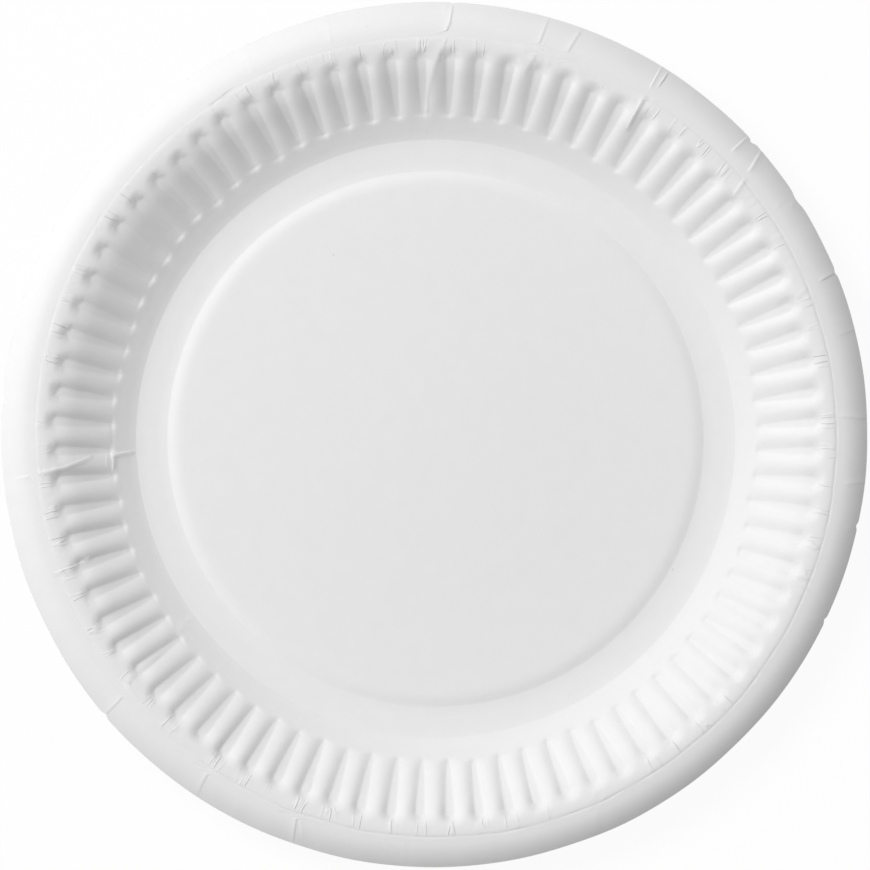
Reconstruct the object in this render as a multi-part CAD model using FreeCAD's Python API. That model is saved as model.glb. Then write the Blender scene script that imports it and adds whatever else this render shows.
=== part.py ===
import FreeCAD, Part
import math
import os

# A round paperboard plate, pressed from one flat blank: a raised centre panel, a flat
# base ring that it stands on, a sloping wall with a ring of pressed flutes, a crest, and
# a rim that turns over into a rolled-down lip.
# Millimetres, +Z up. The origin is the centre of the base, on the table.
# Radii and heights are those of the food side, and the back is one board thickness below.
# The wall is straight across each flute, and the rest is round.

# Driving dimensions: the board
board = 0.4

# Driving dimensions: radii of the pressed form, from the centre out
panel_radius = 66.5
step_radius = 71.7
base_radius = 79.6
wall_break_radius = 84.2
crest_radius = 104.9
crest_width = 0.8
lip_start_radius = 108.0
plate_radius = 115.0

# Driving dimensions: heights, bends, and slopes in degrees
plate_height = 15.0
panel_rise = 0.95
foot_slope = 29.5
crest_reach = 4.8
rim_slope = 9.0
lip_slope = 57.0

# How many flats each round bend of the section is made of
step_flat_count = 2
crest_flat_count = 3
lip_flat_count = 3

# Driving dimensions: the flutes, pressed down into the wall
flute_count = 80
flute_gap = 0.5
flute_end_gap = 0.5
flute_inner_run = 1.7
flute_depth_inner = 0.8
flute_depth_outer = 1.0
flute_floor_inner = 1.0
flute_floor_outer = 2.6
flute_tip_inner = 0.5
flute_tip_outer = 1.6
flute_wall_slope = 29.0

CENTRE = FreeCAD.Vector(0, 0, 0)
UP = FreeCAD.Vector(0, 0, 1)

# Slopes in radians, and the heights that follow from the driving dimensions
foot_angle = math.radians(foot_slope)
rim_angle = math.radians(rim_slope)
lip_angle = math.radians(lip_slope)
flute_spread = 1 / math.tan(math.radians(flute_wall_slope))
half_pitch = math.pi / flute_count
panel_z = board + panel_rise
step_run = step_radius - panel_radius
step_bend = (step_run ** 2 + panel_rise ** 2) / (2 * panel_rise)
wall_break_z = board + (wall_break_radius - base_radius) * math.tan(foot_angle)
crest_start_radius = crest_radius - crest_width / 2
crest_end_radius = crest_radius + crest_width / 2
lip_start_z = plate_height - (lip_start_radius - crest_end_radius) * math.tan(rim_angle)
lip_bend = (plate_radius - lip_start_radius) / (math.sin(lip_angle) - math.sin(rim_angle))

# The wall's line would meet the top short of the crest, and the crest's bend rounds that corner
wall_run = crest_start_radius - crest_reach - wall_break_radius
wall_angle = math.atan2(plate_height - wall_break_z, wall_run)
crest_bend = crest_reach / math.tan(wall_angle / 2)


def corner(radius, z, slope_in, slope_out, depth):
    """The corner that lies depth below a corner of the food side where two slopes meet."""
    middle = (slope_in + slope_out) / 2
    reach = depth / math.cos((slope_out - slope_in) / 2)
    return FreeCAD.Vector(radius + reach * math.sin(middle), 0, z - reach * math.cos(middle))


def bend(radius, z, size, slope_in, slope_out, flats):
    """Points round a bend of a given size, whose top would be at a radius and height."""
    points = []
    for index in range(flats + 1):
        slope = slope_in + (slope_out - slope_in) * index / flats
        points.append(FreeCAD.Vector(radius - size * math.sin(slope), 0, z + size * math.cos(slope)))
    return points


def panel_section(depth):
    """Points of the panel's edge and its step down to the base ring."""
    size = step_bend - depth
    foot_slope_there = -math.acos((size - panel_rise) / size)
    return bend(panel_radius, panel_z - step_bend, size, 0, foot_slope_there, step_flat_count)


def wall_section(depth):
    """Points of the wall from the base ring to the start of the crest's flat top."""
    base = corner(base_radius, board, 0, foot_angle, depth)
    wall_break = corner(wall_break_radius, wall_break_z, foot_angle, wall_angle, depth)
    crest_centre_z = plate_height - crest_bend
    size = crest_bend - depth
    crest = bend(crest_start_radius, crest_centre_z, size, wall_angle, 0, crest_flat_count)
    return [base, wall_break] + crest


def rim_section(depth):
    """Points of the rim from the end of the crest's flat top to the lip's edge."""
    crest_end = corner(crest_end_radius, plate_height, 0, -rim_angle, depth)
    centre_radius = lip_start_radius - lip_bend * math.sin(rim_angle)
    centre_z = lip_start_z - lip_bend * math.cos(rim_angle)
    size = lip_bend - depth
    return [crest_end] + bend(centre_radius, centre_z, size, -rim_angle, -lip_angle, lip_flat_count)


def turned(point, angle):
    """A point of the section turned about the plate's axis."""
    return FreeCAD.Vector(point.x * math.cos(angle), point.x * math.sin(angle), point.z)


def flat_face(corners):
    """A flat face on its corners."""
    return Part.Face(Part.makePolygon(corners + corners[:1]))


def ruled_solid(rings):
    """A solid with flat faces between rings of corners."""
    faces = [flat_face(rings[0]), flat_face(rings[-1])]
    for near, far in zip(rings, rings[1:]):
        for side in range(len(near)):
            after = (side + 1) % len(near)
            faces.append(flat_face([near[side], near[after], far[after], far[side]]))
    return Part.Solid(Part.Shell(faces))


def wall_skin(depth):
    """The wall's flats across one flute, on the side that lies at a depth."""
    points = wall_section(depth)
    faces = []
    for low, high in zip(points, points[1:]):
        right = [turned(low, -half_pitch), turned(high, -half_pitch)]
        left = [turned(high, half_pitch), turned(low, half_pitch)]
        faces.append(flat_face(right + left))
    return Part.Shell(faces)


def under_wall(depth):
    """All that lies under the wall's skin, as a solid."""
    points = wall_section(depth)
    feet = [FreeCAD.Vector(point.x, 0, -plate_height) for point in [points[-1], points[0]]]
    section = points + feet
    return ruled_solid([[turned(point, side) for point in section] for side in (-half_pitch, half_pitch)])


def flute_floor(radius, sink, width, depth):
    """A point on the edge of a flute's floor, sunk below the wall's side that lies at a depth.

    The floor is level across the flute, so the point is half its width from the flute's middle.
    The flute's back is the same floor and walls, all one board further out.
    """
    points = wall_section(depth)
    reach = radius / math.cos(half_pitch)
    for low, high in zip(points, points[1:]):
        if reach <= high.x:
            break
    rise = (high.z - low.z) / (high.x - low.x)
    slant = math.hypot(1, rise)
    wider = depth * (math.hypot(flute_spread * rise, 1, flute_spread) - flute_spread * slant)
    return FreeCAD.Vector(radius, width / 2 + wider, low.z + (reach - low.x) * rise - sink * slant)


def run_out(full, radius, tip_width, depth):
    """The floor's end past a tip, where it has come up half as far again and is out of the wall."""
    tip = flute_floor(radius, 0, tip_width, depth)
    end = full + (tip - full) * 1.5
    end.y = max(end.y, tip.y / 2)
    return end


def flute_rib(depth):
    """The rib that presses one flute, along X: a tapered floor that bends where the wall does."""
    start = wall_break_radius + flute_gap + depth * math.sin(wall_angle)
    end = crest_start_radius - flute_end_gap
    inner_radius = start + flute_inner_run
    radii = [inner_radius] + [point.x * math.cos(half_pitch) for point in wall_section(depth)[3:-1]]
    floors = []
    for radius in radii:
        share = (radius - inner_radius) / (radii[-1] - inner_radius)
        sink = flute_depth_inner + (flute_depth_outer - flute_depth_inner) * share
        width = flute_floor_inner + (flute_floor_outer - flute_floor_inner) * share
        floors.append(flute_floor(radius, sink, width, depth))
    floors.insert(0, run_out(floors[0], start, flute_tip_inner, depth))
    floors.append(run_out(floors[-1], end, flute_tip_outer, depth))
    rings = []
    top = plate_height + board
    for floor in floors:
        half_top = floor.y + (top - floor.z) * flute_spread
        rings.append([
            FreeCAD.Vector(floor.x, -floor.y, floor.z),
            FreeCAD.Vector(floor.x, floor.y, floor.z),
            FreeCAD.Vector(floor.x, half_top, top),
            FreeCAD.Vector(floor.x, -half_top, top),
        ])
    return ruled_solid(rings)


def fluted_wall(depth):
    """The wall's faces across one flute, with the flute pressed in."""
    rib = flute_rib(depth)
    flute = Part.Shell(rib.Faces).common(under_wall(depth))
    return wall_skin(depth).cut(rib).Faces + flute.Faces


def circle(point):
    """A flat round face about the plate's axis, out to a point of the section."""
    ring = Part.Circle(FreeCAD.Vector(0, 0, point.z), UP, point.x)
    return Part.Face(Part.Wire(ring.toShape()))


def many_sided(point):
    """A flat face about the plate's axis with one side for each flute."""
    return flat_face([turned(point, 2 * half_pitch * index) for index in range(flute_count)])


def cones(points):
    """The rings swept about the plate's axis by the lines between points."""
    return [Part.makeLine(a, b).revolve(CENTRE, UP, 360).Faces[0] for a, b in zip(points, points[1:])]


def side_faces(depth):
    """All faces of one side of the plate, at a depth below the food side."""
    panel = panel_section(depth)
    wall = wall_section(depth)
    rim = rim_section(depth)
    faces = circle(panel[0]).Faces
    faces += cones(panel)
    faces += many_sided(wall[0]).cut(circle(panel[-1])).Faces
    faces += circle(rim[0]).cut(many_sided(wall[-1])).Faces
    faces += cones(rim)
    for face in fluted_wall(depth):
        for index in range(flute_count):
            copy = face.copy()
            copy.rotate(CENTRE, UP, math.degrees(half_pitch) * (2 * index + 1))
            faces.append(copy)
    return faces


def plate():
    """The food side, the back and the lip's edge, sewn to one shell and closed to a solid."""
    edge = cones([rim_section(board)[-1], rim_section(0)[-1]])
    shell = Part.Shell(side_faces(0) + side_faces(board) + edge)
    shell.sewShape()
    return Part.Solid(shell)


os.makedirs("parts", exist_ok=True)
solid = plate()
solid.exportStep("parts/plate.step")
box = solid.optimalBoundingBox()
print("plate", solid.ShapeType, "valid", solid.isValid(), "faces", len(solid.Faces))
print("size", round(box.XLength, 3), round(box.YLength, 3), round(box.ZLength, 3))
print("volume", round(solid.Volume, 1), "area", round(solid.Area, 1))
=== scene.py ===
"""A pressed white paper plate seen from above, built as one closed sheet of board."""

import math

import bpy
import numpy as np
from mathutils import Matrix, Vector


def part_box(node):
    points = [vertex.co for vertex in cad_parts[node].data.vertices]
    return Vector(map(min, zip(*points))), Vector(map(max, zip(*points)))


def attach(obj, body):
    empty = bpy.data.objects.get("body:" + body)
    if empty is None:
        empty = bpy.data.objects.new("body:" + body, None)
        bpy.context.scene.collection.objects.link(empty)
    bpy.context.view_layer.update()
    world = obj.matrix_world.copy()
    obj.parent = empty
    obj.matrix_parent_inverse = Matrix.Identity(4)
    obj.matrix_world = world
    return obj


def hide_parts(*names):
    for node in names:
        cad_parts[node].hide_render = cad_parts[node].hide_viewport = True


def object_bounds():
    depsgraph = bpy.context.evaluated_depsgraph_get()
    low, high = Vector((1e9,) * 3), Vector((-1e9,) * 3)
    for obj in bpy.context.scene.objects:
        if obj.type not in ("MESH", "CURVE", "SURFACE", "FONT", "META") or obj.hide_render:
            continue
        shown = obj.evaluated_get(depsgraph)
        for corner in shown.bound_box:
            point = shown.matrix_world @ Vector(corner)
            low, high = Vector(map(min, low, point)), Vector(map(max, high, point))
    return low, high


bl_info = {
    "name": "Paper plate",
    "version": (1, 0, 0),
    "blender": (4, 5, 0),
    "location": "View3D > Sidebar > Plate",
    "description": "A pressed white paper plate with a fluted wall and a rolled-down lip",
    "category": "Add Mesh",
}

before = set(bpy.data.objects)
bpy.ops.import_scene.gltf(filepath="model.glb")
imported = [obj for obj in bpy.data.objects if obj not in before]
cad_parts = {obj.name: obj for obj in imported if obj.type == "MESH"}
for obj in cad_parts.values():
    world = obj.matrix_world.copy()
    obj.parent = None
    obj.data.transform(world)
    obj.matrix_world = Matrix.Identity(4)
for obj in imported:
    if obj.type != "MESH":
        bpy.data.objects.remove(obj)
cad_low, cad_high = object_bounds()
plate_low, plate_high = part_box("plate")

MM = 0.001

# The section of the food side: radii in mm from the centre out, and the sine of the slope
# there, which changes evenly from one radius to the next
PANEL_SINES = (
    (0, 0),
    (20, -0.011),
    (50, -0.011),
    (62, 0),
    (66.9, -0.01),
    (67.8, -0.04),
    (68.6, -0.1),
    (69.4, -0.2),
    (70.2, -0.27),
    (71.2, -0.285),
)
RING_SINES = ((71.4, 0), (72.4, 0.035), (74.5, 0.075), (79.42, 0.115))
WALL_SINES = (
    (79.78, 0.5),
    (83.8, 0.51),
    (84.6, 0.565),
    (88, 0.59),
    (94.8, 0.62),
    (96.4, 0.605),
    (98.4, 0.485),
    (100.6, 0.375),
    (102.2, 0.255),
    (104.4, 0.105),
)
RIM_SINES = (
    (105.15, 0.035),
    (105.85, -0.1),
    (106.9, -0.115),
    (107.7, -0.09),
    (108.2, -0.11),
    (109, -0.2),
    (110.3, -0.37),
    (111.6, -0.515),
    (113, -0.645),
    (115, -0.79),
    (117, -0.81),
)

# Where the mesh's stretches part
PANEL_RADIUS = 66.5 * MM
STEP_RADIUS = 71.3 * MM
BASE_RADIUS = 79.6 * MM
CREST_RADIUS = 105.3 * MM
CREST_START_RADIUS = 104.5 * MM
LIP_START_RADIUS = 108.0 * MM
STEP_FOOT_ROUND = 0.1 * MM
BASE_ROUND = 0.18 * MM

# The blank was laid in the press a little off the middle, so the lip is wider on one side
BLANK_SHIFT_X = -0.38 * MM
BLANK_SHIFT_Y = 0.8 * MM

# The flutes: a slot whose flat floor widens outwards, between webs that lie off the middle
FLUTE_COUNT = 80
FLUTE_INNER = 86.05 * MM
FLUTE_OUTER = 101.3 * MM
FLUTE_SHIFT = 0.1 * MM
WEB_SHIFT = 0.02
FLOOR_HALF_INNER = 0.22 * MM
FLOOR_HALF_OUTER = 1.28 * MM
FLOOR_END_ROUND = 1.4 * MM
INNER_END_RUN = 1.9 * MM
INNER_END_POWER = 2.6
INNER_SHALLOWNESS = 0.3
DOWN_SIDE_SHARE = 0.92
INNER_DEEPENING = 3.0 * MM
OUTER_END_RUN = 2.6 * MM
OUTER_DEPTH_SHARE = 1.4
FLUTE_DEPTH_SPREAD = 0.06
FLUTE_END_SPREAD = 0.25 * MM
FLUTE_TURN_SPREAD = 0.07 * MM

# The crease round the rim, left by the press ring's edge: deepest on the lower right
RING_CREASE_RADIUS = 106.4 * MM
RING_CREASE_DEPTH = 0.1 * MM
RING_CREASE_WIDTH = 0.2 * MM
RING_CREASE_TURN = math.radians(-35)
RING_CREASE_LEAST = 0.45

# The crumples between the flutes and the rim: how deep they are, how far apart, how long,
# and how large the patches are where they come and go
CRUMPLE_DEPTH = 0.13 * MM
CRUMPLE_SPACING = 1.7 * MM
CRUMPLE_LENGTH = 12.0 * MM
CRUMPLE_PATCH = 9.0 * MM
CRUMPLE_SHARPNESS = 0.07
CRUMPLE_START_RADII = (101.6 * MM, 102.9 * MM)
CRUMPLE_END_RADII = (105.2 * MM, 106.5 * MM)

# Puckers, waves and wavers: the size of each, and where the short puckers start and end
PUCKER_HEIGHT = 0.022 * MM
PUCKER_START_RADIUS = 102.6 * MM
PUCKER_END_RADIUS = 107.4 * MM
LIP_WAVE_HEIGHT = 0.03 * MM
LIP_WAVE_RUN = 6 * MM
WARP_HEIGHT = 0.08 * MM
CREASE_WAVER = 0.12 * MM
CREASE_FINE_WAVER = 0.04 * MM
EDGE_WAVER = 0.07 * MM

# The board's face: the size of its fibre clouds, clumps and fibres, which are drawn coarser
# than real fibres so that they show, how far its specks lie apart, and its relief
CLOUD_SIZE = 5.0 * MM
CLUMP_SIZE = 1.1 * MM
FIBRE_SIZE = 0.4 * MM
SPECK_SPACING = 9.0 * MM
SPECK_COLOUR = "#8f8a80"
FIBRE_RELIEF = 0.018 * MM

# How the view in the photograph maps to the plate
PHOTO_SCALE = 3.762
PHOTO_CENTRE_X = 435.67
PHOTO_CENTRE_Y = 438.86
PHOTO_MIDDLE = 435.0
CAMERA_ELEVATION = math.radians(87.6)
CAMERA_DISTANCE = 8.0
SENSOR_WIDTH = 36.0

# How high the folds and the cut edge lie, as shares of the plate's height
FOLD_LEVEL = 0.85
EDGE_LEVEL = 0.67

# The lamp: where it stands and how large it is
LAMP_AZIMUTH = math.radians(145)
LAMP_ELEVATION = math.radians(50)
LAMP_DISTANCE = 2.4
LAMP_SIZE = 1.1

# The table: half its width, the gap that keeps its face off the plate's, and how far it is
# lifted towards white where it is seen
TABLE_HALF = 6.0
TABLE_GAP = 0.02 * MM
TABLE_WHITENESS = 0.94

# Columns of points across one flute: shares of the side down from the web, places on the
# floor as shares of its half width, and shares of the side up to the next web
DOWN_COLUMNS = (0.0, 0.22, 0.44, 0.62, 0.8, 0.94)
FLOOR_COLUMNS = (-0.93, -0.3, 0.3, 0.93)
UP_COLUMNS = (0.06, 0.2, 0.36, 0.52, 0.7, 0.86)
COLUMNS = FLUTE_COUNT * (len(DOWN_COLUMNS) + len(FLOOR_COLUMNS) + len(UP_COLUMNS))
MIDDLE_SHARE = 4
BACK_SHARE = 2

# Rows of points: radii in mm where a stretch starts and ends, and how many rows it has
FACE_ROWS = (
    (79.72, 83.9, 3),
    (84.4, 86.8, 7),
    (87.6, 95.2, 7),
    (96.4, 99.4, 4),
    (99.9, 103.9, 10),
    (104.5, 105.5, 3),
)
BACK_ROWS = (
    (79.72, 83.9, 2),
    (84.4, 87.0, 4),
    (88.5, 98.5, 5),
    (99.9, 103.6, 5),
    (104.5, 105.4, 2),
)
FACE_CREASE_ROWS = (-2.6, -0.95, 0.0, 0.95, 2.6)
BACK_CREASE_ROWS = (-2.0, 0.0, 2.0)
RIM_ROWS = (107.4 * MM, LIP_START_RADIUS)
LIP_ROWS = 11
BACK_LIP_ROWS = 6
PANEL_ROWS = 6
STEP_ROWS = 7
RING_ROWS = 4

# The columns on the lip crowd at each fold, by so much and within so wide an angle
FOLD_CROWDING = 8
FOLD_CROWD_ANGLE = math.radians(0.8)

# The step over which the slopes of the food side are measured, for the back
SLOPE_STEP = 0.15 * MM

# How far a tuck's gentle and steep sides run, how much of its height a fold has at its start,
# and how far to the side it reaches and is worked out, in half widths
TUCK_GENTLE_RUN = 1.2
TUCK_STEEP_RUN = 0.4
FOLD_START_SHARE = 0.35
FOLD_REACH = 4
FOLD_MARGIN = 5

# Folds and pleats, as lines of points (x, y) in the photograph from the edge inwards, each
# with its kind, half width in mm and height in mm. A tuck has one steep side, turned from
# the lamp in a shaded tuck and to it in a lit one. A ridge is even, and a valley goes down.
FOLDS = {
    "top_pleat": (((453, 6), (450, 23), (446, 34)), "shaded", 0.7, 0.32),
    "top_pleat_second": (((445, 5), (444, 14)), "lit", 0.5, 0.12),
    "top_fold_left": (((430, 41), (421, 53)), "lit", 0.7, 0.16),
    "top_fold_right": (((443, 47), (434, 72), (428, 92), (427, 117)), "shaded", 0.6, 0.34),
    "top_fold_ticks": (((447, 107), (430, 110)), "valley", 0.3, 0.05),
    "top_fold_tail": (((431, 120), (423, 136)), "shaded", 0.4, 0.14),
    "one_oclock_first": (((549, 18), (537, 50), (535, 57), (524, 77)), "shaded", 0.7, 0.22),
    "one_oclock_second": (((582, 29), (570, 49), (560, 65)), "shaded", 0.7, 0.24),
    "eleven_oclock": (((327, 16), (332, 42), (331, 65)), "shaded", 0.6, 0.10),
    "eleven_oclock_mark": (((363, 42), (363, 57)), "valley", 0.4, 0.06),
    "two_oclock_lit": (((661, 67), (650, 88)), "lit", 0.6, 0.3),
    "two_oclock_shaded": (((668, 73), (658, 88)), "shaded", 0.5, 0.32),
    "two_oclock_slot": (((646, 97), (636, 113), (627, 129)), "shaded", 0.6, 0.42),
    "two_oclock_inner": (((654, 99), (649, 113)), "lit", 0.6, 0.14),
    "two_thirty_first": (((746, 138), (731, 152)), "lit", 0.8, 0.34),
    "two_thirty_second": (((760, 152), (748, 173)), "lit", 0.8, 0.34),
    "two_thirty_slot": (((744, 181), (733, 195)), "lit", 0.6, 0.2),
    "two_thirty_mark": (((782, 203), (776, 209)), "shaded", 0.4, 0.10),
    "two_thirty_low": (((796, 200), (790, 210)), "shaded", 0.4, 0.12),
    "three_oclock_upper": (((834, 273), (819, 282)), "shaded", 0.8, 0.26),
    "three_oclock_mark": (((853, 330), (838, 336)), "shaded", 0.5, 0.14),
    "three_oclock": (((866, 419), (838, 417)), "shaded", 0.6, 0.18),
    "three_oclock_lower": (((865, 482), (844, 485)), "shaded", 0.5, 0.16),
    "four_oclock_mark": (((857, 526), (846, 528)), "shaded", 0.4, 0.10),
    "four_thirty": (((824, 620), (812, 618)), "lit", 0.5, 0.12),
    "five_oclock_mark": (((809, 646), (798, 640)), "lit", 0.4, 0.10),
    "five_oclock_low": (((786, 673), (776, 668)), "lit", 0.4, 0.10),
    "five_oclock_last": (((702, 769), (694, 758)), "lit", 0.4, 0.08),
    "five_thirty": (((593, 788), (595, 804), (594, 836)), "lit", 0.6, 0.14),
    "six_oclock_mark": (((488, 836), (484, 817)), "shaded", 0.4, 0.08),
    "six_oclock_mark_left": (((476, 836), (477, 818)), "lit", 0.4, 0.07),
    "six_oclock": (((405, 863), (405, 824)), "shaded", 0.5, 0.08),
    "seven_oclock": (((293, 842), (298, 809), (314, 780)), "shaded", 0.8, 0.22),
    "seven_oclock_lit": (((302, 838), (300, 815)), "lit", 0.5, 0.10),
    "seven_thirty": (((199, 794), (201, 786), (212, 767), (216, 756)), "shaded", 0.7, 0.20),
    "eight_oclock_edge": (((104, 716), (124, 696)), "shaded", 0.7, 0.20),
    "eight_oclock_slot": (((124, 692), (134, 677), (164, 652)), "shaded", 0.7, 0.3),
    "nine_oclock_lip": (((16, 479), (35, 475)), "lit", 0.6, 0.16),
    "nine_oclock_long": (((39, 474), (65, 467), (88, 457)), "lit", 0.7, 0.38),
    "nine_oclock_end": (((114, 452), (113, 469)), "ridge", 0.4, 0.2),
    "nine_oclock_inner": (((112, 454), (124, 450), (132, 450)), "lit", 0.6, 0.36),
    "nine_oclock_cross": (((113, 428), (113, 451)), "valley", 0.5, 0.10),
    "nine_oclock_upper": (((35, 419), (51, 420)), "shaded", 0.5, 0.12),
    "nine_thirty": (((43, 357), (57, 361)), "shaded", 0.5, 0.12),
    "nine_thirty_upper": (((51, 333), (63, 331)), "shaded", 0.5, 0.12),
    "eight_thirty": (((44, 516), (56, 513)), "lit", 0.5, 0.14),
    "eight_thirty_low": (((55, 553), (64, 543)), "lit", 0.5, 0.14),
    "eight_thirty_long": (((61, 574), (71, 570), (92, 557)), "lit", 0.6, 0.18),
    "ten_oclock_first": (((169, 141), (176, 153)), "shaded", 0.5, 0.14),
    "ten_oclock_second": (((186, 124), (191, 137)), "shaded", 0.5, 0.14),
    "ten_thirty": (((220, 110), (225, 117)), "shaded", 0.4, 0.10),
    "ten_thirty_long": (((240, 48), (252, 71), (258, 82)), "lit", 0.6, 0.08),
    "eleven_oclock_low": (((244, 87), (250, 100)), "shaded", 0.5, 0.12),
    "eleven_oclock_upper": (((276, 71), (279, 87)), "shaded", 0.5, 0.12),
    "slot_end_lower_left": (((188, 616), (179, 631)), "lit", 0.5, 0.16),
    "slot_end_lower_left_small": (((191, 645), (195, 652)), "lit", 0.4, 0.10),
    "slot_end_lower": (((220, 664), (216, 671)), "lit", 0.4, 0.10),
    "right_slot_wrinkle": (((807, 289), (796, 300), (794, 295), (776, 302)), "shaded", 0.5, 0.16),
    "right_web_mark": (((780, 406), (761, 411)), "valley", 0.5, 0.10),
    "lower_right_crack": (
        ((758, 600), (752, 596), (745, 594), (741, 590), (731, 588)),
        "valley",
        0.4,
        0.14,
    ),
}

# Thin raised lines of creased board, as lines of points (x, y) in the photograph, with the
# share of the crumples' depth that each rises. They are too fine for the mesh. Each is steep
# on the lamp's side, and gentler on the other by the share given here.
THIN_LINES = {
    "nine_oclock_ridge": (((40, 473), (66, 467), (90, 456)), 1.1),
    "nine_oclock_tick_pair": (((107, 454), (107, 466)), 0.5),
    "nine_oclock_stop": (((111, 452), (114, 460), (113, 470)), 0.8),
    "nine_oclock_tail": (((112, 454), (131, 450)), 0.8),
    "eight_thirty_ridge": (((56, 573), (70, 569), (90, 557)), 1.0),
    "two_oclock_ridge": (((641, 102), (627, 128)), 1.0),
    "two_thirty_ridge": (((743, 180), (733, 196)), 0.9),
}
THIN_LINE_WIDTH = 0.36 * MM
GENTLE_SHARE = 0.25

# Small dents of the cut edge: the place (x, y) in the photograph, depth in mm, half width in mm
NICKS = {
    "upper_right_nick": ((753, 141), 0.6, 0.8),
    "upper_right_dent": ((793, 202), 0.5, 2.2),
    "right_nick": ((857, 526), 0.4, 0.7),
    "lower_right_nick": ((824, 620), 0.4, 0.7),
    "lower_left_nick": ((104, 716), 0.5, 0.8),
    "left_nick": ((3, 400), 0.5, 0.7),
    "top_nick": ((453, 4), 0.3, 0.7),
    "right_pleat_nick": ((834, 273), 0.3, 0.8),
}


def linear(code):
    """The linear colour of an sRGB hex code."""
    shares = [int(code[i : i + 2], 16) / 255 for i in (1, 3, 5)]
    return tuple(s / 12.92 if s <= 0.04045 else ((s + 0.055) / 1.055) ** 2.4 for s in shares)


def from_photo(points, height):
    """Places on the plate, in metres, of points of the photograph at a height above the base."""
    across = (np.array(points, float)[:, 0] - PHOTO_CENTRE_X) / PHOTO_SCALE * MM
    up = (PHOTO_CENTRE_Y - np.array(points, float)[:, 1]) / PHOTO_SCALE * MM
    away = (up - height * math.cos(CAMERA_ELEVATION)) / math.sin(CAMERA_ELEVATION)
    return np.column_stack([across, away])


def lamp_direction():
    """The direction from the plate to the lamp."""
    level = math.cos(LAMP_ELEVATION)
    across = level * math.cos(LAMP_AZIMUTH)
    away = level * math.sin(LAMP_AZIMUTH)
    return Vector((across, away, math.sin(LAMP_ELEVATION)))


def smooth_step(share):
    """Nothing below 0 and one above 1, with a level start and end."""
    share = np.clip(share, 0, 1)
    return share * share * (3 - 2 * share)


def ripple(angle, lowest, highest, seed):
    """A wave round the plate about one high: the sum of cosines with whole counts, each
    turned by its own drawn angle."""
    draw = np.random.default_rng(seed)
    counts = np.arange(lowest, highest + 1)
    turns = draw.uniform(0, 2 * math.pi, len(counts))
    sizes = draw.normal(0, 1, len(counts)) / math.sqrt(len(counts))
    total = np.zeros_like(angle)
    for count, turn, size in zip(counts, turns, sizes):
        total += size * np.cos(count * angle + turn)
    return total


def section_table(board):
    """Radii and heights of the food side without flutes or folds.

    The slope summed over fine steps gives the height. The wall's sines are then made a
    little smaller or larger, so that the crest comes to the plate's height.
    """
    radii = np.linspace(0, RIM_SINES[-1][0], 12001) * MM

    def heights_for(steepness):
        wall = tuple((radius, sine * steepness) for radius, sine in WALL_SINES)
        knots = np.array(PANEL_SINES + RING_SINES + wall + RIM_SINES)
        sines = np.interp(radii / MM, *knots.T)
        slopes = sines / np.sqrt(1 - sines ** 2)
        steps = (slopes[1:] + slopes[:-1]) / 2 * np.diff(radii)
        heights = np.concatenate([[0], np.cumsum(steps)])
        return heights + board - np.interp(RING_SINES[0][0] * MM, radii, heights)

    tries = np.array([0.85, 0.9, 0.95, 1.0])
    tops = [np.interp(CREST_RADIUS, radii, heights_for(steepness)) for steepness in tries]
    return radii, heights_for(np.interp(plate_high.z, tops, tries))


def flute_floor(radius):
    """Half the width of a flute's floor, which grows with the 0.6th power of the share of
    the flute's length that lies further in."""
    share = np.clip((radius - FLUTE_INNER) / (FLUTE_OUTER - FLUTE_INNER), 0, 1)
    return FLOOR_HALF_INNER + (FLOOR_HALF_OUTER - FLOOR_HALF_INNER) * share ** 0.6, share


def flute_sink(radius, angle, depth):
    """How far the flutes press the wall down.

    The floor of a flute is a line along the radius with a width that grows outwards and a
    round outer end. Beyond it the sink falls off with the distance as a share of the run to
    the web: steepest right at the floor's edge, and level at the web. Inwards of the floor
    the slot narrows and comes up within a short run. Each flute differs a little from the
    next.
    """
    draw = np.random.default_rng(80)
    deeper = draw.normal(0, FLUTE_DEPTH_SPREAD, FLUTE_COUNT)
    inner_shift = draw.normal(0, FLUTE_END_SPREAD, FLUTE_COUNT)
    outer_shift = draw.normal(0, FLUTE_END_SPREAD, FLUTE_COUNT)
    turned = draw.normal(0, FLUTE_TURN_SPREAD, FLUTE_COUNT)
    pitch = 2 * math.pi / FLUTE_COUNT
    place = (angle / pitch - WEB_SHIFT) % FLUTE_COUNT
    number = np.minimum(place.astype(int), FLUTE_COUNT - 1)
    middle = (0.5 - WEB_SHIFT) * pitch * radius - FLUTE_SHIFT + turned[number]
    across = (place - number) * pitch * radius - middle
    inner = FLUTE_INNER + inner_shift[number]
    outer = FLUTE_OUTER + outer_shift[number]
    half, share = flute_floor(radius)
    into_end = np.clip((radius - outer + FLOOR_END_ROUND) / FLOOR_END_ROUND, 0, 1)
    half = half * np.sqrt(1 - 0.98 * into_end ** 2)
    down_run = DOWN_SIDE_SHARE * (middle - half)
    run = np.where(across < 0, down_run, pitch * radius - middle - half)
    beside = np.maximum(np.abs(across) - half, 0) / run
    past_end = np.maximum(radius - outer, 0) / OUTER_END_RUN
    before_start = np.maximum(inner - radius, 0) / INNER_END_RUN
    beyond = np.clip(np.hypot(past_end, beside), 0, 1)
    fall = np.maximum(1 - 1.5 * beyond + 0.5 * beyond ** 3, 0)
    fall = fall ** (1 + 2 * before_start)
    start_fall = np.maximum(1 - before_start, 0) ** INNER_END_POWER
    shallow = 1 - INNER_SHALLOWNESS * (1 - smooth_step((radius - inner) / INNER_DEEPENING))
    grown = 1 + (OUTER_DEPTH_SHARE - 1) * share ** 2
    return depth * (1 + deeper[number]) * grown * shallow * fall * start_fall


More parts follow.
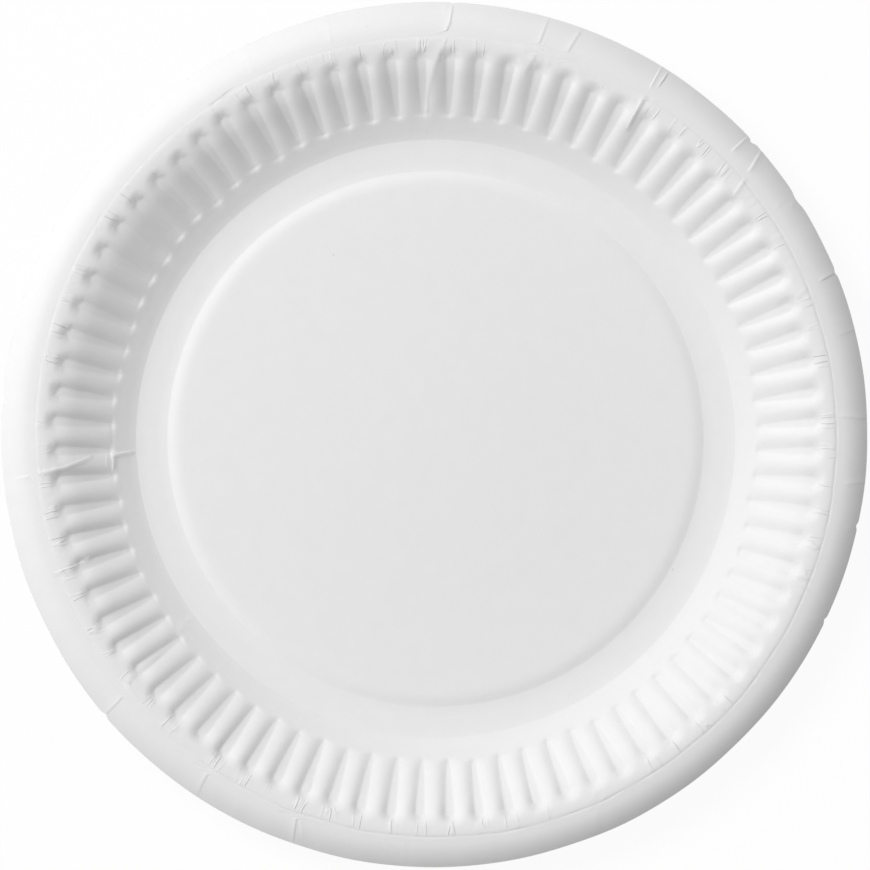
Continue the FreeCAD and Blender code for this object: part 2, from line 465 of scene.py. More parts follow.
def line_places(x, y, points):
    """For each place, the distance to a bent line, with a sign for its side, and the share
    of the line's length where its nearest point lies."""
    best = np.full(x.shape, np.inf)
    side = np.zeros(x.shape)
    share = np.zeros(x.shape)
    lengths = np.hypot(*(points[1:] - points[:-1]).T)
    starts = np.concatenate([[0], np.cumsum(lengths)])
    for start, end, length, before in zip(points, points[1:], lengths, starts):
        run = (end - start) / length
        along = np.clip((x - start[0]) * run[0] + (y - start[1]) * run[1], 0, length)
        off_x = x - start[0] - along * run[0]
        off_y = y - start[1] - along * run[1]
        distance = np.hypot(off_x, off_y)
        nearer = distance < best
        best = np.where(nearer, distance, best)
        side = np.where(nearer, np.sign(run[0] * off_y - run[1] * off_x), side)
        share = np.where(nearer, (before + along) / starts[-1], share)
    return best * np.where(side == 0, 1, side), share


def fold_height(x, y, fold, strength):
    """The height that one fold adds.

    Across a tuck the height grows as an exponential up to the line, and behind it drops to
    nothing within the steep run. A ridge or a valley is a bell. Both ends of the line run
    out, the first one only to a share of the height.
    """
    points, kind, width, height = fold
    width = width * MM
    height = height * MM * strength
    line = from_photo(points, plate_high.z * FOLD_LEVEL)
    margin = FOLD_MARGIN * width
    low = line.min(0) - margin
    high = line.max(0) + margin
    near = (x > low[0]) & (x < high[0]) & (y > low[1]) & (y < high[1])
    total = np.zeros(x.shape)
    offset, share = line_places(x[near], y[near], line)
    if kind in ("ridge", "valley"):
        shape = np.exp(-(offset / width) ** 2) * (1 if kind == "ridge" else -1)
    else:
        run = line[-1] - line[0]
        to_lamp = run[0] * math.sin(LAMP_AZIMUTH) - run[1] * math.cos(LAMP_AZIMUTH)
        offset = offset * math.copysign(1, to_lamp) * (1 if kind == "shaded" else -1)
        gentle = np.exp(-np.maximum(offset, 0) / (TUCK_GENTLE_RUN * width))
        steep = np.clip(1 + np.minimum(offset, 0) / (TUCK_STEEP_RUN * width), 0, 1) ** 1.5
        shape = gentle * steep
    length = np.hypot(*(line[-1] - line[0]))
    fade = np.clip(1.2 * width / length, 0.1, 0.35)
    at_start = FOLD_START_SHARE + (1 - FOLD_START_SHARE) * smooth_step(share / fade)
    at_end = smooth_step((1 - share) / fade)
    cut_off = np.exp(-((np.abs(offset) / (FOLD_REACH * width)) ** 4))
    total[near] = height * shape * at_start * at_end * cut_off
    return total


def folds_height(x, y, strength):
    """The height that all folds add together."""
    total = np.zeros(x.shape)
    for fold in FOLDS.values():
        total += fold_height(x, y, fold, strength)
    return total


def crease_waver(angle):
    """How far the crease round the rim strays from its circle."""
    coarse = CREASE_WAVER * ripple(angle, 8, 40, 106)
    return coarse + CREASE_FINE_WAVER * ripple(angle, 60, 160, 107)


def ring_crease(radius, angle):
    """The depth of the crease round the rim: a bell across a circle that wavers, deepest on
    one side of the plate."""
    turn = (1 + np.cos(angle - RING_CREASE_TURN)) / 2
    deep = RING_CREASE_LEAST + (1 - RING_CREASE_LEAST) * smooth_step(1.6 * turn - 0.3)
    deep = deep * (1 + 0.3 * ripple(angle, 20, 90, 108))
    offset = (radius - RING_CREASE_RADIUS - crease_waver(angle)) / RING_CREASE_WIDTH
    return RING_CREASE_DEPTH * deep * np.exp(-(offset ** 2))


def puckers(radius, angle):
    """Fine radial puckers: short ones between the flutes' ends and the crease, and long
    faint ones that grow over the lip. Each is a wave round the plate times its own band."""
    starts = smooth_step((radius - PUCKER_START_RADIUS) / (1.6 * MM))
    ends = smooth_step((PUCKER_END_RADIUS - radius) / (1.2 * MM))
    busy = np.clip(0.6 + 0.8 * ripple(angle, 5, 60, 21), 0.1, 2)
    short = PUCKER_HEIGHT * starts * ends * busy * ripple(angle, 150, 360, 22)
    lip = smooth_step((radius - LIP_START_RADIUS) / LIP_WAVE_RUN)
    long = LIP_WAVE_HEIGHT * lip * ripple(angle, 25, 120, 23)
    return short + long


def slow_waves(radius, angle):
    """The board's slow warp: a few waves round the plate that grow from the base outwards."""
    share = np.maximum(radius - BASE_RADIUS, 0) / (plate_high.x - BASE_RADIUS)
    return WARP_HEIGHT * share * ripple(angle, 2, 6, 31)


def edge_radius(angle, plate_radius):
    """Where the cut edge lies: a circle about the blank's own middle, with a faint waver and
    small nicks, each a bell."""
    radius = plate_radius + BLANK_SHIFT_X * np.cos(angle) + BLANK_SHIFT_Y * np.sin(angle)
    radius = radius + EDGE_WAVER * ripple(angle, 3, 30, 41)
    for place, depth, width in NICKS.values():
        x, y = from_photo([place], plate_high.z * EDGE_LEVEL)[0]
        away = (angle - math.atan2(y, x) + math.pi) % (2 * math.pi) - math.pi
        radius = radius - depth * MM * np.exp(-((away * plate_radius / (width * MM)) ** 2))
    return radius


def pressed_height(radius, angle, table, sizes):
    """Height of the food side before any fold: the section, less the flutes and the crease,
    with the puckers and the slow warp."""
    height = np.interp(radius, *table)
    height = height - flute_sink(radius, angle, sizes.flute_depth)
    height = height - ring_crease(radius, angle) + puckers(radius, angle)
    return height + slow_waves(radius, angle)


def face_places(radius, angle, table, sizes):
    """Places of the food side."""
    x = radius * np.cos(angle)
    y = radius * np.sin(angle)
    z = pressed_height(radius, angle, table, sizes) + folds_height(x, y, sizes.fold_strength)
    return np.stack([x, y, z], axis=-1)


def back_places(radius, angle, table, sizes):
    """Places of the back: one board thickness below the pressed food side, square to it, with
    the food side's folds. The slopes come from heights a short step to either side."""
    turn = SLOPE_STEP / np.maximum(radius, SLOPE_STEP)
    along = pressed_height(radius + SLOPE_STEP, angle, table, sizes)
    along = (along - pressed_height(np.abs(radius - SLOPE_STEP), angle, table, sizes)) / (2 * SLOPE_STEP)
    round_it = pressed_height(radius, angle + turn, table, sizes)
    round_it = (round_it - pressed_height(radius, angle - turn, table, sizes)) / (2 * SLOPE_STEP)
    size = np.sqrt(1 + along ** 2 + round_it ** 2)
    normal_x = (-along * np.cos(angle) + round_it * np.sin(angle)) / size
    normal_y = (-along * np.sin(angle) - round_it * np.cos(angle)) / size
    places = face_places(radius, angle, table, sizes)
    return places - sizes.board * np.stack([normal_x, normal_y, 1 / size], axis=-1)


def flute_columns(radius):
    """Angles of the columns at each radius, which follow the flutes: one on the web between
    two flutes, then down its side, over the floor and up the other side."""
    half = flute_floor(radius[:, None])[0]
    pitch = 2 * math.pi / FLUTE_COUNT
    middle = (0.5 - WEB_SHIFT) * pitch * radius[:, None] - FLUTE_SHIFT
    down = (middle - half) * np.array(DOWN_COLUMNS)
    floor = middle + half * np.array(FLOOR_COLUMNS)
    up = middle + half + (pitch * radius[:, None] - middle - half) * np.array(UP_COLUMNS)
    turns = np.concatenate([down, floor, up], axis=1) / radius[:, None]
    webs = pitch * (np.arange(FLUTE_COUNT) + WEB_SHIFT)
    return (webs[None, :, None] + turns[:, None, :]).reshape(len(radius), -1)


def fold_columns():
    """Angles of the columns on the lip, closer together near each fold: the number of
    columns passed grows evenly, plus a bell for each fold."""
    fine = np.linspace(0, 2 * math.pi, 20001)
    density = np.ones(len(fine))
    for points, *_, height in FOLDS.values():
        line = from_photo(points[:2], plate_high.z * FOLD_LEVEL)
        turn = math.atan2(*line.mean(0)[::-1])
        away = (fine - turn + math.pi) % (2 * math.pi) - math.pi
        density += FOLD_CROWDING * height * np.exp(-((away / FOLD_CROWD_ANGLE) ** 2))
    passed = np.concatenate([[0], np.cumsum((density[1:] + density[:-1]) / 2)])
    return np.interp(np.arange(COLUMNS) / COLUMNS * passed[-1], passed, fine)


def middle_radii():
    """Radii of the rows of the panel, its step and the base ring, from the centre out."""
    panel = np.linspace(0, PANEL_RADIUS, PANEL_ROWS + 1)[1:]
    step = np.linspace(PANEL_RADIUS, STEP_RADIUS - STEP_FOOT_ROUND, STEP_ROWS + 1)[1:]
    ring = np.linspace(STEP_RADIUS + STEP_FOOT_ROUND, BASE_RADIUS - BASE_ROUND, RING_ROWS)
    return np.concatenate([panel, step, ring])


def outer_grid(stretches, crease_rows, lip_rows, plate_radius):
    """Radii and angles of the grid of the wall, rim and lip.

    Rows lie as their stretches say, follow the crease where it wavers, and share out the
    lip up to the cut edge. Columns follow the flutes, and slide over to the folds' columns
    across the rim.
    """
    rows = [np.linspace(start, end, count) * MM for start, end, count in stretches]
    rows.append(RING_CREASE_RADIUS + RING_CREASE_WIDTH * np.array(crease_rows))
    rows.append(np.array(RIM_ROWS))
    rows = np.concatenate(rows)
    at_flutes = flute_columns(rows)
    at_folds = fold_columns()
    slide = smooth_step((rows - CREST_START_RADIUS) / (LIP_START_RADIUS - CREST_START_RADIUS))
    slide = slide[:, None]
    angles = at_flutes * (1 - slide) + at_folds * slide
    near_crease = np.exp(-(((rows - RING_CREASE_RADIUS) / MM) ** 4))[:, None]
    radii = rows[:, None] + near_crease * crease_waver(angles)
    share = np.arange(1, lip_rows + 1)[:, None] / lip_rows
    lip = LIP_START_RADIUS + (edge_radius(at_folds, plate_radius) - LIP_START_RADIUS) * share
    lip_angles = np.broadcast_to(at_folds, lip.shape)
    return np.concatenate([radii, lip]), np.concatenate([angles, lip_angles])


def ring_quads(first, rows, columns):
    """Faces between the rings of a grid of points that starts at a number."""
    row = np.arange(rows - 1)[:, None] * columns
    column = np.arange(columns)[None, :]
    after = (column + 1) % columns
    beyond = row + columns
    quads = np.stack([row + column, beyond + column, beyond + after, row + after], axis=-1)
    return quads.reshape(-1, 4) + first


def ring_fans(coarse, fine):
    """Triangles between a ring of few points and one with a whole number of times as many."""
    share = len(fine) // len(coarse)
    fine = fine.reshape(len(coarse), share)
    next_fine = np.roll(fine, -1, axis=0)
    chain = np.concatenate([fine, next_fine[:, :1]], axis=1)
    half = share // 2
    own = np.broadcast_to(coarse[:, None], (len(coarse), share))
    after = np.roll(coarse, -1)
    tip = np.where(np.arange(share)[None, :] < half, own, after[:, None])
    outer = np.stack([tip, chain[:, :-1], chain[:, 1:]], axis=-1).reshape(-1, 3)
    inner = np.stack([coarse, chain[:, half], after], axis=-1)
    return np.concatenate([outer, inner])


def centre_fan(centre, ring):
    """Triangles from the centre point to the first ring."""
    return np.stack([np.full(len(ring), centre), ring, np.roll(ring, -1)], axis=-1)


def side_mesh(places_of, outer, middle_share, sizes, first):
    """Points and faces of one side of the plate: a centre, a coarse middle and a finer wall,
    rim and lip. Also gives the numbers of the points round the cut edge."""
    table = section_table(sizes.board)
    columns = outer[0].shape[1]
    coarse = outer[1][0, ::middle_share]
    radii = middle_radii()
    middle = (np.repeat(radii[:, None], len(coarse), 1), np.repeat(coarse[None], len(radii), 0))
    points = [places_of(np.array([1e-9]), np.array([0.0]), table, sizes)]
    points.append(places_of(*middle, table, sizes).reshape(-1, 3))
    points.append(places_of(*outer, table, sizes).reshape(-1, 3))
    start_middle = first + 1
    start_outer = start_middle + middle[0].size
    ring_one = start_middle + np.arange(len(coarse))
    last_middle = start_outer - len(coarse) + np.arange(len(coarse))
    faces = [
        ring_quads(start_middle, len(radii), len(coarse)),
        ring_quads(start_outer, len(outer[0]), columns),
        centre_fan(first, ring_one),
        ring_fans(last_middle, start_outer + np.arange(columns)),
    ]
    edge = start_outer + (len(outer[0]) - 1) * columns + np.arange(columns)
    return np.concatenate(points), faces, edge


def plate_mesh(sizes):
    """The whole plate as one closed mesh: the food side, the back turned over, and the cut
    edge between them. Also gives the numbers of the points on the two rims of the cut edge."""
    outer = outer_grid(FACE_ROWS, FACE_CREASE_ROWS, LIP_ROWS, sizes.plate_radius)
    face_points, face_faces, face_rim = side_mesh(face_places, outer, MIDDLE_SHARE, sizes, 0)
    outer = outer_grid(BACK_ROWS, BACK_CREASE_ROWS, BACK_LIP_ROWS, sizes.plate_radius)
    outer = (outer[0][:, ::BACK_SHARE], outer[1][:, ::BACK_SHARE])
    first = len(face_points)
    share = MIDDLE_SHARE // BACK_SHARE
    back_points, back_faces, back_rim = side_mesh(back_places, outer, share, sizes, first)
    faces = []
    for part in face_faces:
        faces.extend(part.tolist())
    for part in [*back_faces, ring_fans(back_rim, face_rim)]:
        faces.extend(part[:, ::-1].tolist())
    return np.concatenate([face_points, back_points]), faces, (face_rim, back_rim)


def mesh_object(name, points, faces, rims=()):
    """An object at the origin with these points and faces, shaded smooth, but for sharp
    edges along the rims."""
    mesh = bpy.data.meshes.new(name)
    mesh.from_pydata(points, [], faces)
    mesh.validate()
    mesh.shade_smooth()
    ends = np.zeros(2 * len(mesh.edges), int)
    mesh.edges.foreach_get("vertices", ends)
    sharp = np.zeros(len(mesh.edges), bool)
    for rim in rims:
        on_rim = np.zeros(len(points), bool)
        on_rim[rim] = True
        sharp |= on_rim[ends.reshape(-1, 2)].all(axis=1)
    mesh.edges.foreach_set("use_edge_sharp", sharp)
    shown = bpy.data.objects.new(name, mesh)
    bpy.context.scene.collection.objects.link(shown)
    return shown


def add_node(tree, kind, inputs=(), **settings):
    """A node with its settings and inputs. An input is a value or another node's output."""
    node = tree.nodes.new(kind)
    for name, value in settings.items():
        setattr(node, name, value)
    for name, value in dict(inputs).items():
        if isinstance(value, bpy.types.NodeSocket):
            tree.links.new(value, node.inputs[name])
        else:
            node.inputs[name].default_value = value
    return node


def crumples(tree, place, flat):
    """Where the board was gathered in between the flutes and the rim: thin wavering creases
    that run outwards, thickest at the flutes' outer ends and missing in places.

    The noise is read at a point on a circle, so it has no seam, and a step along the radius
    counts little, which draws it out. A crease lies where the noise crosses its middle. Each
    smooth rise has the one before it as its full value, so the result is their product.
    """
    radius = add_node(tree, "ShaderNodeVectorMath", {0: flat}, operation="LENGTH").outputs["Value"]
    turn = add_node(tree, "ShaderNodeVectorMath", {0: flat}, operation="NORMALIZE")
    axes = add_node(tree, "ShaderNodeSeparateXYZ", {"Vector": turn.outputs["Vector"]}).outputs
    polar = add_node(tree, "ShaderNodeCombineXYZ", {"X": axes["X"], "Y": axes["Y"], "Z": radius})
    around = CREST_RADIUS / CRUMPLE_SPACING
    drawn_out = add_node(
        tree,
        "ShaderNodeVectorMath",
        {0: polar.outputs["Vector"], 1: (around, around, 1 / CRUMPLE_LENGTH)},
        operation="MULTIPLY",
    )
    inside = add_node(
        tree,
        "ShaderNodeMapRange",
        {"Value": radius, "From Min": CRUMPLE_START_RADII[0], "From Max": CRUMPLE_START_RADII[1]},
        interpolation_type="SMOOTHSTEP",
    )
    band = add_node(
        tree,
        "ShaderNodeMapRange",
        {
            "Value": radius,
            "From Min": CRUMPLE_END_RADII[1],
            "From Max": CRUMPLE_END_RADII[0],
            "To Max": inside.outputs["Result"],
        },
        interpolation_type="SMOOTHSTEP",
    )
    patches = add_node(
        tree,
        "ShaderNodeTexNoise",
        {"Vector": place, "Scale": 1 / CRUMPLE_PATCH, "Detail": 1.0, "Roughness": 0.5},
    )
    busy = add_node(
        tree,
        "ShaderNodeMapRange",
        {
            "Value": patches.outputs["Fac"],
            "From Min": 0.34,
            "From Max": 0.55,
            "To Max": band.outputs["Result"],
        },
        interpolation_type="SMOOTHSTEP",
    )
    angle = add_node(tree, "ShaderNodeMath", {0: axes["Y"], 1: axes["X"]}, operation="ARCTAN2")
    flute_turn = add_node(
        tree, "ShaderNodeMath", {0: angle.outputs["Value"], 1: FLUTE_COUNT}, operation="MULTIPLY"
    )
    flute_wave = add_node(
        tree, "ShaderNodeMath", {0: flute_turn.outputs["Value"]}, operation="COSINE"
    )
    at_flute = add_node(
        tree,
        "ShaderNodeMapRange",
        {
            "Value": flute_wave.outputs["Value"],
            "From Min": 0.5,
            "From Max": -0.8,
            "To Max": busy.outputs["Result"],
        },
        interpolation_type="SMOOTHSTEP",
    )
    noise = add_node(
        tree,
        "ShaderNodeTexNoise",
        {
            "Vector": drawn_out.outputs["Vector"],
            "Scale": 1.0,
            "Detail": 0.0,
            "Roughness": 0.4,
            "Distortion": 0.3,
        },
    )
    signed = add_node(
        tree, "ShaderNodeMath", {0: noise.outputs["Fac"], 1: 0.5}, operation="SUBTRACT"
    )
    off_middle = add_node(
        tree, "ShaderNodeMath", {0: signed.outputs["Value"]}, operation="ABSOLUTE"
    )
    crease = add_node(
        tree,
        "ShaderNodeMapRange",
        {
            "Value": off_middle.outputs["Value"],
            "From Min": CRUMPLE_SHARPNESS,
            "From Max": 0.0,
            "To Max": at_flute.outputs["Result"],
        },
        interpolation_type="SMOOTHSTEP",
    )
    return crease.outputs["Result"]


def distance_to_run(tree, flat, start, end):
    """The distance over the plate to a straight run, counted as less on the side away from
    the lamp."""
    run = end - start
    square = Vector((-run[1], run[0], 0)).normalized()
    from_lamp = square if square.dot(lamp_direction()) < 0 else -square
    off = add_node(tree, "ShaderNodeVectorMath", {0: flat, 1: (*start, 0)}, operation="SUBTRACT")
    off = off.outputs["Vector"]
    share = (*(run / np.dot(run, run)), 0)
    along = add_node(tree, "ShaderNodeVectorMath", {0: off, 1: share}, operation="DOT_PRODUCT")
    along = add_node(tree, "ShaderNodeClamp", {"Value": along.outputs["Value"]})
    foot = add_node(
        tree,
        "ShaderNodeVectorMath",
        {0: (*run, 0), "Scale": along.outputs["Result"]},
        operation="SCALE",
    )
    away = add_node(
        tree, "ShaderNodeVectorMath", {0: off, 1: foot.outputs["Vector"]}, operation="DISTANCE"
    )
    side = add_node(tree, "ShaderNodeVectorMath", {0: off, 1: from_lamp}, operation="DOT_PRODUCT")
    behind = add_node(
        tree, "ShaderNodeMath", {0: side.outputs["Value"], 1: 0.0}, operation="GREATER_THAN"
    )
    counted = add_node(
        tree,
        "ShaderNodeMath",
        {0: behind.outputs["Value"], 1: GENTLE_SHARE - 1, 2: 1.0},
        operation="MULTIPLY_ADD",
    )
    away = add_node(
        tree,
        "ShaderNodeMath",
        {0: away.outputs["Value"], 1: counted.outputs["Value"]},
        operation="MULTIPLY",
    )
    return away.outputs["Value"]


def thin_lines(tree, flat):
    """All thin lines together. Each is as high as its share says on its line, and falls to
    nothing at its half width, and the highest counts where they meet."""
    total = 0.0
    for points, share in THIN_LINES.values():
        places = from_photo(points, plate_high.z * FOLD_LEVEL)
        nearest = plate_high.x
        for start, end in zip(places, places[1:]):
            away = distance_to_run(tree, flat, start, end)
            nearest = add_node(tree, "ShaderNodeMath", {0: away, 1: nearest}, operation="MINIMUM")
            nearest = nearest.outputs["Value"]
        line = add_node(
            tree,
            "ShaderNodeMapRange",
            {"Value": nearest, "From Min": THIN_LINE_WIDTH, "From Max": 0.0, "To Max": share},
            interpolation_type="SMOOTHSTEP",
        )
        total = add_node(
            tree, "ShaderNodeMath", {0: line.outputs["Result"], 1: total}, operation="MAXIMUM"
        )
        total = total.outputs["Value"]
    return total


def paper_shade(tree, place, colour):
    """The board's white, a little uneven from cloudy fibre clumps, with a few tiny specks."""
    cloud = add_node(
        tree,
        "ShaderNodeTexNoise",
        {"Vector": place, "Scale": 1 / CLOUD_SIZE, "Detail": 3.0, "Roughness": 0.6},
    )
    cloudy = add_node(
        tree,
        "ShaderNodeMapRange",
        {
            "Value": cloud.outputs["Fac"],
            "From Min": 0.3,
            "From Max": 0.7,
            "To Min": 0.99,
            "To Max": 1.006,
        },
    )
    cells = add_node(
        tree, "ShaderNodeTexVoronoi", {"Vector": place, "Scale": 1 / SPECK_SPACING}, feature="F1"
    )
    number = add_node(tree, "ShaderNodeSeparateColor", {"Color": cells.outputs["Color"]})
    chosen = add_node(
        tree,
        "ShaderNodeMapRange",
        {"Value": number.outputs["Red"], "From Min": 0.93, "From Max": 0.97, "To Max": 0.35},
    )
    speck = add_node(
        tree,
        "ShaderNodeMapRange",
        {
            "Value": cells.outputs["Distance"],
            "From Min": 0.03,
            "From Max": 0.012,
            "To Max": chosen.outputs["Result"],
        },
    )
    tint = add_node(
        tree,
        "ShaderNodeMix",
        {"Factor": speck.outputs["Result"], 6: (*colour, 1), 7: (*linear(SPECK_COLOUR), 1)},
        data_type="RGBA",
    )
    shade = add_node(
        tree,
        "ShaderNodeVectorMath",
        {0: tint.outputs[2], "Scale": cloudy.outputs["Result"]},
        operation="SCALE",
    )
    return shade.outputs["Vector"]


def paper_relief(tree, place):
    """The normal of the board's face: fibres and their clumps, and above them the crumples
    and the thin lines."""
    clump = add_node(
        tree,
        "ShaderNodeTexNoise",
        {"Vector": place, "Scale": 1 / CLUMP_SIZE, "Detail": 2.0, "Roughness": 0.7},
    )
    fibre = add_node(
        tree,
        "ShaderNodeTexNoise",
        {"Vector": place, "Scale": 1 / FIBRE_SIZE, "Detail": 2.0, "Roughness": 0.5},
    )
    felted = add_node(
        tree,
        "ShaderNodeMath",
        {0: fibre.outputs["Fac"], 1: 0.5, 2: clump.outputs["Fac"]},
        operation="MULTIPLY_ADD",
    )
    fibres = add_node(
        tree,
        "ShaderNodeBump",
        {"Strength": 1.0, "Distance": FIBRE_RELIEF, "Height": felted.outputs["Value"]},
    )
    flat = add_node(tree, "ShaderNodeVectorMath", {0: place, 1: (1, 1, 0)}, operation="MULTIPLY")
    flat = flat.outputs["Vector"]
    creased = add_node(
        tree,
        "ShaderNodeMath",
        {0: crumples(tree, place, flat), 1: thin_lines(tree, flat)},
        operation="ADD",
    )
    bump = add_node(
        tree,
        "ShaderNodeBump",
        {
            "Strength": 1.0,
            "Distance": CRUMPLE_DEPTH,
            "Height": creased.outputs["Value"],
            "Normal": fibres.outputs["Normal"],
        },
    )
    return bump.outputs["Normal"]


def paperboard(colour):
    """Bleached paperboard, pressed hot between steel dies: an even white sheet that is
    nearly matt, with a faint satin, cloudy fibre clumps and a few tiny specks."""
    material = bpy.data.materials.new("bleached_paperboard")
    material.use_nodes = True
    tree = material.node_tree
    tree.nodes.clear()
    place = add_node(tree, "ShaderNodeTexCoord").outputs["Object"]
    surface = add_node(
        tree,
        "ShaderNodeBsdfPrincipled",
        {
            "Base Color": paper_shade(tree, place, colour),
            "Normal": paper_relief(tree, place),
            "Roughness": 0.62,
            "IOR": 1.45,
            "Specular IOR Level": 0.35,
        },
    )
    add_node(tree, "ShaderNodeOutputMaterial", {"Surface": surface.outputs["BSDF"]})
    return material


def seen_directly(tree):
    """One for rays from the camera, mirror rays and rays through glass, and else nothing."""
    path = add_node(tree, "ShaderNodeLightPath").outputs
    mirror = add_node(
        tree,
        "ShaderNodeMath",
        {0: path["Is Camera Ray"], 1: path["Is Glossy Ray"]},
        operation="MAXIMUM",
    )
    either = add_node(
        tree,
        "ShaderNodeMath",
        {0: mirror.outputs["Value"], 1: path["Is Transmission Ray"]},
        operation="MAXIMUM",
    )
    return either.outputs["Value"]


def table_paint(colour, whiteness):
    """White painted table: a plain matt diffuse sheet, lifted towards white only where it is
    seen directly, so that it keeps most of the shadow and lights the plate as it is."""
    material = bpy.data.materials.new("white_matt_paint")
    material.use_nodes = True
    tree = material.node_tree
    tree.nodes.clear()
    diffuse = add_node(tree, "ShaderNodeBsdfDiffuse", {"Color": (*colour, 1)})
    glow = add_node(tree, "ShaderNodeEmission", {"Color": (1, 1, 1, 1), "Strength": 1.0})
    lifted = add_node(
        tree, "ShaderNodeMath", {0: seen_directly(tree), 1: whiteness}, operation="MULTIPLY"
    )
    mix = add_node(
        tree,
        "ShaderNodeMixShader",
        {0: lifted.outputs["Value"], 1: diffuse.outputs["BSDF"], 2: glow.outputs["Emission"]},
    )
    add_node(tree, "ShaderNodeOutputMaterial", {"Surface": mix.outputs["Shader"]})
    return material


class PaperPlateSizes(bpy.types.PropertyGroup):
    """Sizes of the plate."""

    plate_radius: bpy.props.FloatProperty(
        name="Plate radius",
        description="Radius of the lip's cut edge",
        default=plate_high.x,
        min=0.11,
        max=0.12,
        unit="LENGTH",
        precision=4,
    )
    board: bpy.props.FloatProperty(
        name="Board",
        description="Thickness of the paperboard",
        default=0.4 * MM,
        min=0.0001,
        unit="LENGTH",
        precision=5,
    )
    flute_depth: bpy.props.FloatProperty(
        name="Flute depth",
        description="How far the flutes are pressed into the wall at their inner ends",
        default=0.8 * MM,
        min=0,
        unit="LENGTH",
        precision=5,
    )
    fold_strength: bpy.props.FloatProperty(
        name="Fold strength",
        description="How strongly the folds and pleats show, where 1 is as on the plate",
        default=1.0,
        min=0,
        max=2,
        subtype="FACTOR",
    )


class PaperPlateColours(bpy.types.PropertyGroup):
    """Colours of the plate and the table, and the level of the light."""

    paper: bpy.props.FloatVectorProperty(
        name="Paper",
        description="Colour of the paperboard",
        default=linear("#e8e8e8"),
        size=3,
        subtype="COLOR",
        min=0,
        max=1,
    )
    table: bpy.props.FloatVectorProperty(
        name="Table",
        description="Colour of the table",
        default=linear("#f6f6f6"),
        size=3,
        subtype="COLOR",
        min=0,
        max=1,
    )
    lamp_power: bpy.props.FloatProperty(
        name="Lamp power",
        description="Power of the soft lamp at the upper left",
        default=47.5,
        min=0,
        unit="POWER",
    )
    room_light: bpy.props.FloatProperty(
        name="Room light",
        description="Strength of the even light from all round",
        default=0.33,
        min=0,
        max=1,
        subtype="FACTOR",
    )


class PAPERPLATE_OT_plate(bpy.types.Operator):
    """Build the paper plate in place of the plain one"""

    bl_idname = "paperplate.plate"
    bl_label = "Paper plate"

    def execute(self, context):
        points, faces, rims = plate_mesh(context.scene.paper_plate_sizes)
        shown = mesh_object("pressed_plate", points, faces, rims)
        shown.data.materials.append(paperboard(context.scene.paper_plate_colours.paper))
        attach(shown, "root")
        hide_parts("plate")
        return {"FINISHED"}


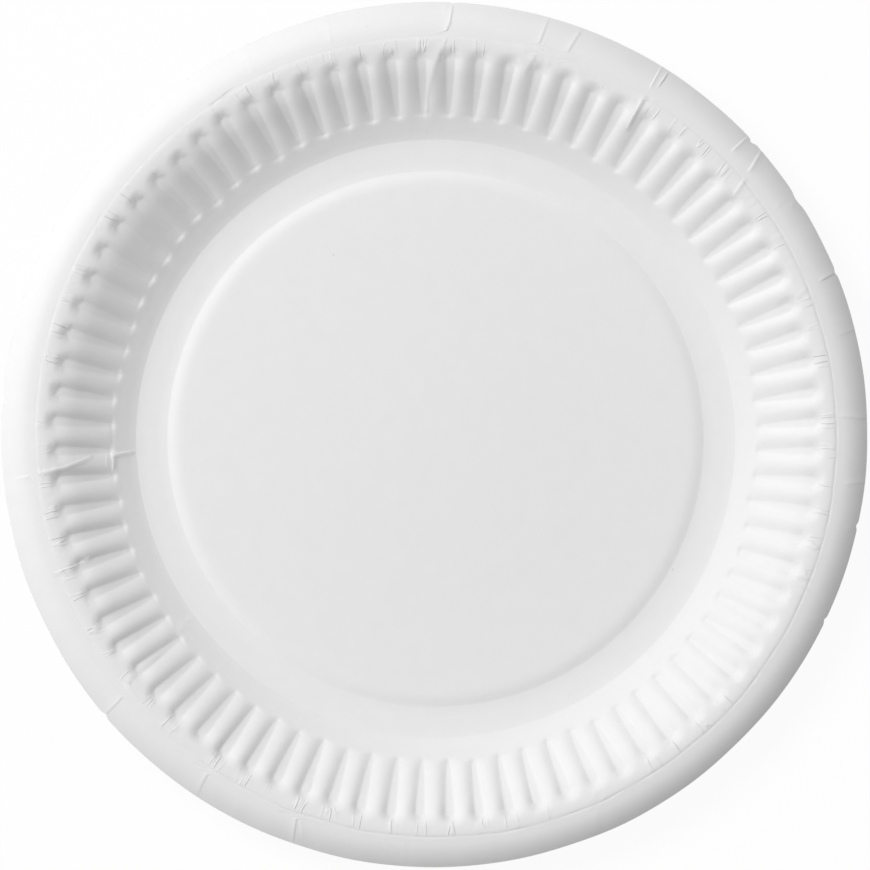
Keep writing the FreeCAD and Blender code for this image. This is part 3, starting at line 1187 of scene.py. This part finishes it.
class PAPERPLATE_OT_stage(bpy.types.Operator):
    """Set the table, the lamp, the room light and the camera"""

    bl_idname = "paperplate.stage"
    bl_label = "Table, light and camera"

    def execute(self, context):
        colours = context.scene.paper_plate_colours
        turns = ((-1, -1), (1, -1), (1, 1), (-1, 1))
        below = cad_low.z - TABLE_GAP
        corners = [(TABLE_HALF * across, TABLE_HALF * away, below) for across, away in turns]
        table = mesh_object("table", corners, [(0, 1, 2, 3)])
        table.data.materials.append(table_paint(colours.table, TABLE_WHITENESS))
        self.light(context, colours)
        self.camera(context)
        return {"FINISHED"}

    def light(self, context, colours):
        """A large square lamp that looks at the plate, and an even room round it."""
        lamp = bpy.data.lights.new("soft_lamp", "AREA")
        lamp.shape = "SQUARE"
        lamp.size = LAMP_SIZE
        lamp.energy = colours.lamp_power
        holder = bpy.data.objects.new("soft_lamp", lamp)
        towards = lamp_direction()
        holder.location = towards * LAMP_DISTANCE
        holder.rotation_euler = towards.to_track_quat("Z", "Y").to_euler()
        holder.visible_camera = False
        context.scene.collection.objects.link(holder)
        world = bpy.data.worlds.new("even_room")
        context.scene.world = world
        world.use_nodes = True
        tree = world.node_tree
        tree.nodes.clear()
        strength = add_node(
            tree,
            "ShaderNodeMapRange",
            {"Value": seen_directly(tree), "To Min": colours.room_light, "To Max": 1.0},
        )
        room = add_node(
            tree,
            "ShaderNodeBackground",
            {"Color": (1, 1, 1, 1), "Strength": strength.outputs["Result"]},
        )
        add_node(tree, "ShaderNodeOutputWorld", {"Surface": room.outputs["Background"]})

    def camera(self, context):
        """A far camera with a long lens, nearly straight above, aimed so that the plate lies
        in the picture as in the photograph."""
        view = bpy.data.cameras.new("camera")
        view.sensor_width = SENSOR_WIDTH
        half_view = PHOTO_MIDDLE / PHOTO_SCALE * MM
        view.lens = SENSOR_WIDTH / 2 * CAMERA_DISTANCE / half_view
        view.clip_start = 0.1
        view.clip_end = 50.0
        seat = bpy.data.objects.new("camera", view)
        aim_x = (PHOTO_MIDDLE - PHOTO_CENTRE_X) / PHOTO_SCALE * MM
        aim_y = (PHOTO_CENTRE_Y - PHOTO_MIDDLE) / PHOTO_SCALE * MM / math.sin(CAMERA_ELEVATION)
        aim = Vector((aim_x, aim_y, plate_low.z))
        back = Vector((0, -math.cos(CAMERA_ELEVATION), math.sin(CAMERA_ELEVATION)))
        seat.location = aim + back * CAMERA_DISTANCE
        seat.rotation_euler = back.to_track_quat("Z", "Y").to_euler()
        context.scene.collection.objects.link(seat)
        context.scene.camera = seat


class PAPERPLATE_PT_panel(bpy.types.Panel):
    """The plate's sizes, colours and steps in the sidebar"""

    bl_idname = "PAPERPLATE_PT_panel"
    bl_label = "Paper plate"
    bl_space_type = "VIEW_3D"
    bl_region_type = "UI"
    bl_category = "Plate"

    def draw(self, context):
        for group in (context.scene.paper_plate_sizes, context.scene.paper_plate_colours):
            for name in group.__annotations__:
                self.layout.prop(group, name)
        for operator in OPERATORS:
            self.layout.operator(operator.bl_idname)


GROUPS = (PaperPlateSizes, PaperPlateColours)
OPERATORS = (PAPERPLATE_OT_plate, PAPERPLATE_OT_stage)


def register():
    for part in (*GROUPS, *OPERATORS, PAPERPLATE_PT_panel):
        bpy.utils.register_class(part)
    bpy.types.Scene.paper_plate_sizes = bpy.props.PointerProperty(type=PaperPlateSizes)
    bpy.types.Scene.paper_plate_colours = bpy.props.PointerProperty(type=PaperPlateColours)


def unregister():
    del bpy.types.Scene.paper_plate_sizes
    del bpy.types.Scene.paper_plate_colours
    for part in reversed((*GROUPS, *OPERATORS, PAPERPLATE_PT_panel)):
        bpy.utils.unregister_class(part)


def main():
    """Builds everything."""
    register()
    bpy.context.scene.view_settings.view_transform = "Standard"
    bpy.ops.paperplate.plate()
    bpy.ops.paperplate.stage()


if __name__ == "__main__":
    main()
